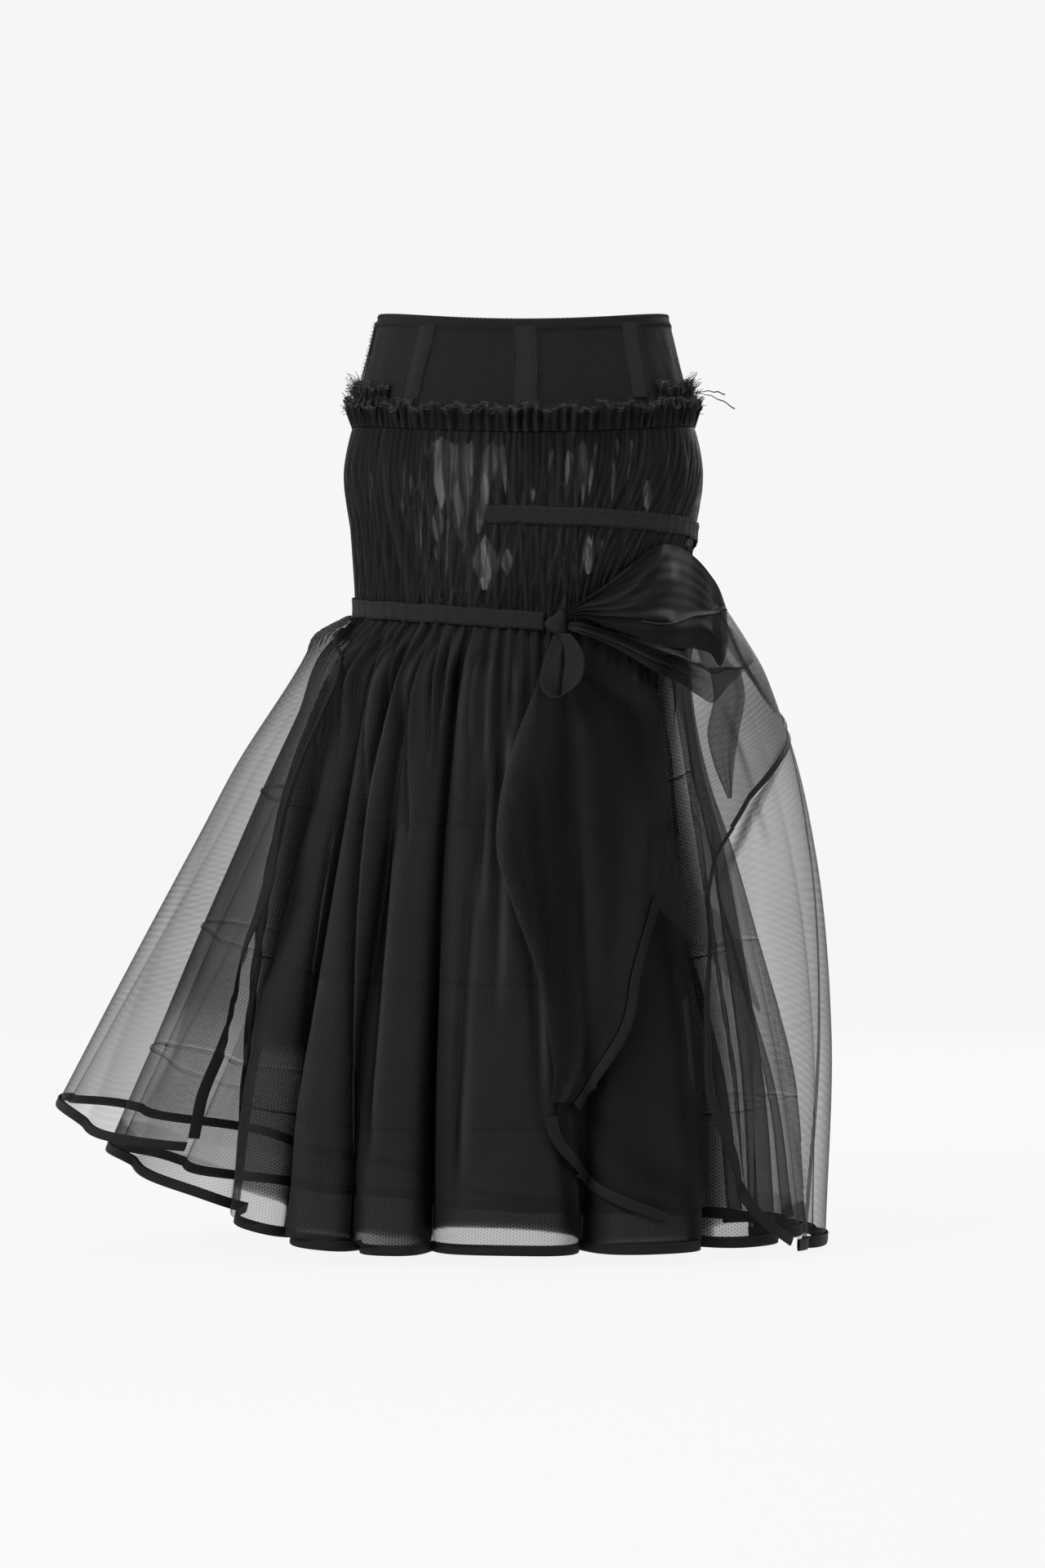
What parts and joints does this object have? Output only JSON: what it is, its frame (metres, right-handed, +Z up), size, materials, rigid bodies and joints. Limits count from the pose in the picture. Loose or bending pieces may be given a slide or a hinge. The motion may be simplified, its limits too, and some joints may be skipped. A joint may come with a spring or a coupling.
{
  "type": "organza skirt",
  "caption": "Black sheer skirt with a boned yoke, a frayed ruffle, a gathered hip held by a spiral tape, a tiered net underskirt and an organza overskirt knotted at one side.",
  "frame": {"origin": "the middle of the waist's opening, level with the highest points of the waist's edge", "axes": "+Z up, the front faces -Y, the wearer's left is +X"},
  "size_m": [0.6814, 0.4282, 0.8155],
  "materials": {
    "yoke_canvas": "dull close weave",
    "organza": "sheer, slightly glossy",
    "net": "sheer fine net",
    "tape": "dull",
    "frayed_organza": "frayed"
  },
  "bodies": {
    "root": {"yoke_front": "yoke_canvas", "yoke_back": "yoke_canvas", "bone_channel_right": "tape", "bone_channel_centre": "tape", "bone_channel_left": "tape", "side_placket": "tape", "ruffle_lower": "frayed_organza", "ruffle_upper": "frayed_organza", "hip_front": "organza", "hip_back": "organza", "spiral_tape": "tape", "tier_1": "net", "tier_2": "net", "tier_3": "net", "tier_4": "net", "underskirt_binding": "tape", "overskirt": "organza", "overskirt_hem_binding": "tape", "overskirt_left_binding": "tape", "overskirt_right_binding": "tape", "front_drape": "organza", "front_drape_binding": "tape", "under_drape": "organza", "under_drape_binding": "tape", "drape_tail": "organza", "knot": "tape", "small_loop": "tape", "swag_upper": "organza", "swag_lower": "organza", "swag_tail": "organza"}
  },
  "joints": []
}
